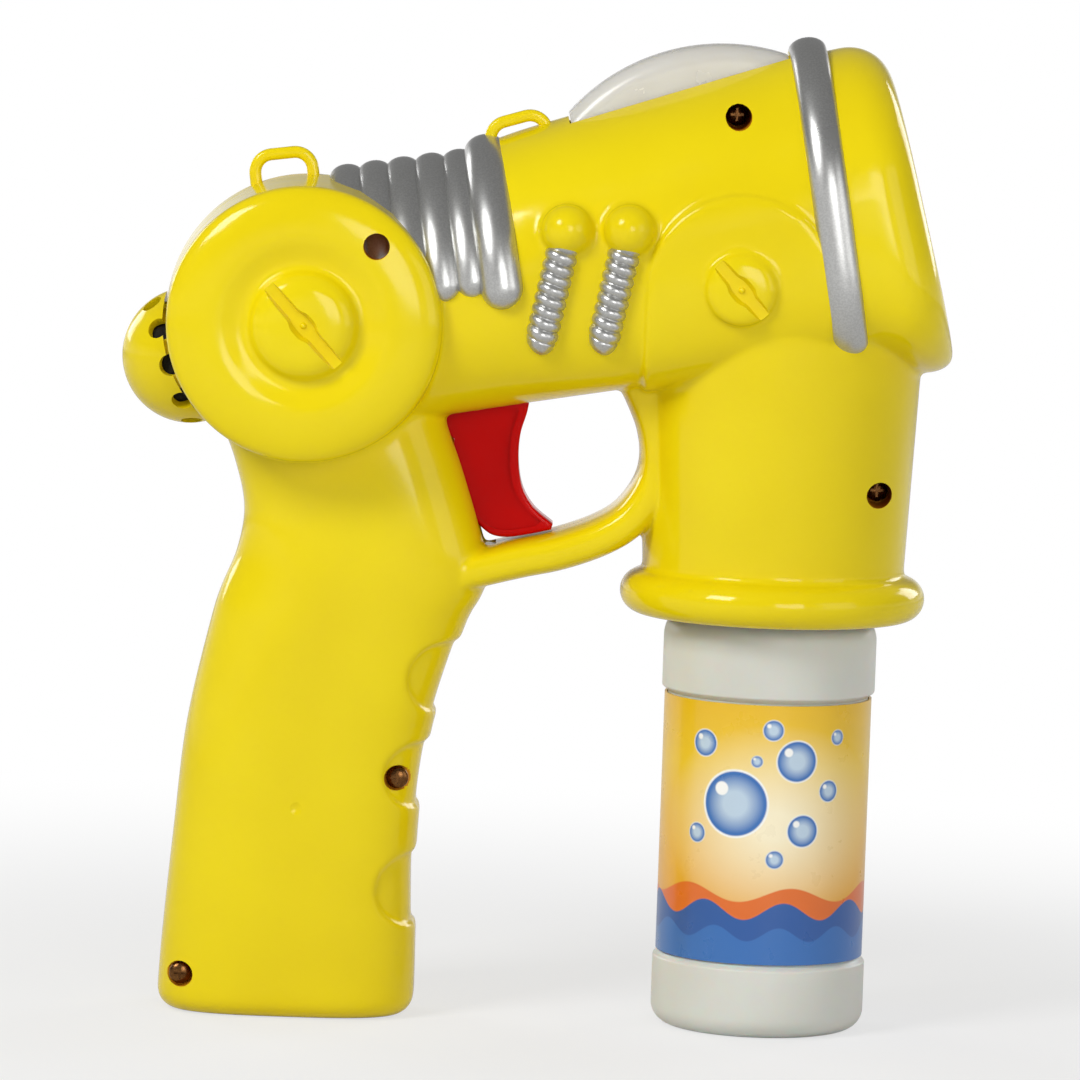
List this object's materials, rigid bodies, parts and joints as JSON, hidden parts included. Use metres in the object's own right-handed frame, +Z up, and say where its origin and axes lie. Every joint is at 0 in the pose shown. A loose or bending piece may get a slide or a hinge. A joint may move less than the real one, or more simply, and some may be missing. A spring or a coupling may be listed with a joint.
{
  "type": "bubble blower",
  "caption": "Toy bubble pistol with a moulded two-part housing, a screw-in tank of solution, a trigger, and a battery-driven blower and pump.",
  "frame": {"origin": "on the ground under the middle of the toy, on the plane where the two halves of the housing meet", "axes": "+X towards the muzzle, +Y to the side with the battery door, +Z up"},
  "size_m": [0.1786, 0.0716, 0.2143],
  "materials": {
    "yellow_plastic": "glossy moulded, part painted silver",
    "milky_plastic": "translucent white",
    "board": "circuit board",
    "red_plastic": "glossy moulded",
    "dark_plastic": "matte",
    "steel": "plated",
    "brass": "plain",
    "gear_plastic": "natural",
    "silicone": "soft, translucent",
    "white_plastic": "blow-moulded, translucent",
    "label_film": "printed film"
  },
  "bodies": {
    "housing": {"left_shell": "yellow_plastic", "right_shell": "yellow_plastic", "vent_cap": "yellow_plastic", "light_dome": "milky_plastic", "light_board": "board", "led": "milky_plastic", "trigger_pin": "steel", "trigger_spring": "steel", "switch_body": "dark_plastic", "motor": "steel", "chassis_plate": "dark_plastic", "motor_bracket": "dark_plastic", "idler_axle": "steel", "pump_axle": "steel", "pump_tube": "silicone", "bubble_nozzle": "yellow_plastic", "drip_tray": "yellow_plastic", "tank_socket": "white_plastic", "dip_tube": "white_plastic", "cell_1": "dark_plastic", "cell_2": "dark_plastic", "cell_3": "dark_plastic", "top_contact": "steel", "bottom_contact": "steel", "shell_screw_1": "brass", "shell_screw_2": "brass", "shell_screw_3": "brass", "shell_screw_4": "brass", "shell_screw_5": "brass"},
    "rotor": {"motor_pinion": "brass", "blower_wheel": "gear_plastic"},
    "idler": {"idler_gear": "gear_plastic"},
    "pump": {"pump_gear": "gear_plastic", "pump_rotor": "gear_plastic"},
    "trigger": {"trigger": "red_plastic"},
    "plunger": {"switch_plunger": "red_plastic"},
    "tank_thread": {"seal_ring": "silicone"},
    "tank": {"bottle": "white_plastic", "tank_label": "label_film"},
    "door": {"battery_door": "yellow_plastic", "door_screw": "brass"}
  },
  "joints": [
    {"name": "fan_spin", "type": "hinge", "parent": "housing", "child": "rotor", "pos_m": [-0.0495, 0, 0.1507], "axis": [0, 1, 0], "continuous": true},
    {"name": "idler_spin", "type": "hinge", "parent": "housing", "child": "idler", "pos_m": [-0.03308, 0, 0.1463], "axis": [0, 1, 0], "continuous": true},
    {"name": "pump_spin", "type": "hinge", "parent": "housing", "child": "pump", "pos_m": [-0.02082, 0, 0.15658], "axis": [0, 1, 0], "continuous": true},
    {"name": "trigger_pull", "type": "hinge", "parent": "housing", "child": "trigger", "pos_m": [-0.004, 0, 0.1393], "axis": [0, 1, 0], "range_deg": [0, 12], "stiffness_Nm_per_rad": 0.2, "springref_deg": -8.59, "deforming": ["trigger_spring"]},
    {"name": "switch_press", "type": "slide", "parent": "housing", "child": "plunger", "axis": [-1, 0, 0], "range_m": [0, 0.0045]},
    {"name": "tank_drop", "type": "slide", "parent": "housing", "child": "tank_thread", "axis": [0, 0, -1], "range_m": [0, 0.0046]},
    {"name": "tank_turn", "type": "hinge", "parent": "tank_thread", "child": "tank", "pos_m": [0.0525, 0, 0.05], "axis": [0, 0, -1], "range_deg": [0, 540]},
    {"name": "door_swing", "type": "hinge", "parent": "housing", "child": "door", "pos_m": [-0.0505, 0.0175, 0.0075], "axis": [-1, 0, 0], "range_deg": [0, 75]}
  ],
  "couplings": [
    {"joint": "idler_spin", "follows": "fan_spin", "ratio": -0.41667},
    {"joint": "pump_spin", "follows": "fan_spin", "ratio": 0.18939},
    {"joint": "switch_press", "follows": "trigger_pull", "m_per_rad": 0.0195},
    {"joint": "tank_drop", "follows": "tank_turn", "m_per_rad": 0.00047746}
  ]
}
